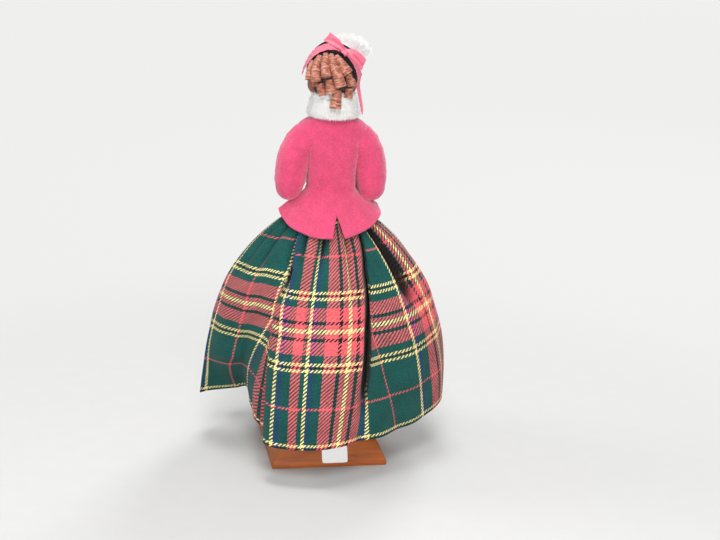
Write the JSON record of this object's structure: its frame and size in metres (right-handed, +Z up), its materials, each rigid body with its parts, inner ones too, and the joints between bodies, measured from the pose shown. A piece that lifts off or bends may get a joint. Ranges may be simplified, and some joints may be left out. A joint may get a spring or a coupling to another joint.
{
  "type": "caroler_doll",
  "caption": "Standing caroler doll in a pink felt jacket, tartan skirt and black bonnet with ribbon and feather, holding a blank song book, on a bevelled wooden base",
  "frame": {"origin": "middle of the wooden base's underside", "axes": "+Z up through the spine, the doll faces -Y, its left hand is on +X"},
  "size_m": [0.185, 0.1815, 0.3308],
  "materials": {
    "stained_wood": "satin varnish",
    "white_paper": "matte",
    "boot_black": "satin",
    "bright_wire": "drawn",
    "wound_paper": "matte",
    "pink_felt": "felted wool",
    "tartan_wool": "twill weave",
    "white_cotton": "plain weave",
    "white_fur": "long pile",
    "painted_clay": "matte paint",
    "auburn_hair": "set curls",
    "black_velvet": "velvet",
    "pink_satin": "satin weave",
    "white_plume": "feather",
    "book_board": "satin"
  },
  "bodies": {
    "figure": {"base_block": "stained_wood", "blank_label": "white_paper", "left_boot": "boot_black", "left_leg_wire": "bright_wire", "left_leg_wrap": "wound_paper", "right_boot": "boot_black", "right_leg_wire": "bright_wire", "right_leg_wrap": "wound_paper", "torso_padding": "wound_paper", "spine_wire": "bright_wire", "shoulder_wire": "bright_wire", "jacket_bodice": "pink_felt", "jacket_peplum": "pink_felt", "skirt_waistband": "tartan_wool", "skirt": "tartan_wool", "petticoat": "white_cotton", "fur_collar": "white_fur"},
    "head": {"head": "painted_clay", "hair_cap": "auburn_hair", "ringlet_upper_1": "auburn_hair", "ringlet_upper_2": "auburn_hair", "ringlet_upper_3": "auburn_hair", "ringlet_upper_4": "auburn_hair", "ringlet_upper_5": "auburn_hair", "ringlet_upper_6": "auburn_hair", "ringlet_middle_1": "auburn_hair", "ringlet_middle_2": "auburn_hair", "ringlet_middle_3": "auburn_hair", "ringlet_middle_4": "auburn_hair", "ringlet_middle_5": "auburn_hair", "ringlet_nape": "auburn_hair", "bonnet_brim": "black_velvet", "bonnet_crown": "black_velvet", "ribbon_band": "pink_satin", "bow_knot": "pink_satin", "bow_loop": "pink_satin", "bow_tail": "pink_satin", "tie_end": "pink_satin", "feather_quill": "white_plume", "feather_plume": "white_plume"},
    "left_upper_arm": {"left_upper_sleeve": "pink_felt", "left_upper_arm_wire": "bright_wire"},
    "left_forearm": {"left_lower_sleeve": "pink_felt", "left_forearm_wire": "bright_wire", "left_hand": "painted_clay", "songbook_cover": "book_board", "songbook_pages": "white_paper"},
    "right_upper_arm": {"right_upper_sleeve": "pink_felt", "right_upper_arm_wire": "bright_wire"},
    "right_forearm": {"right_lower_sleeve": "pink_felt", "right_forearm_wire": "bright_wire", "right_hand": "painted_clay"}
  },
  "joints": [
    {"name": "head_turn", "type": "hinge", "parent": "figure", "child": "head", "pos_m": [0, 0, 0.267], "axis": [0, 0, 1], "range_deg": [-35, 35]},
    {"name": "left_shoulder", "type": "hinge", "parent": "figure", "child": "left_upper_arm", "pos_m": [0.027, 0, 0.244], "axis": [-1, 0, 0], "range_deg": [-5, 40]},
    {"name": "left_elbow", "type": "hinge", "parent": "left_upper_arm", "child": "left_forearm", "pos_m": [0.03201, 0, 0.21239], "axis": [-0.9583, 0.2419, -0.1518], "range_deg": [-12, 10]},
    {"name": "right_shoulder", "type": "hinge", "parent": "figure", "child": "right_upper_arm", "pos_m": [-0.027, 0, 0.244], "axis": [-1, 0, 0], "range_deg": [-5, 40]},
    {"name": "right_elbow", "type": "hinge", "parent": "right_upper_arm", "child": "right_forearm", "pos_m": [-0.03201, 0, 0.21239], "axis": [-0.9781, -0.1392, 0.1549], "range_deg": [-12, 10]}
  ]
}
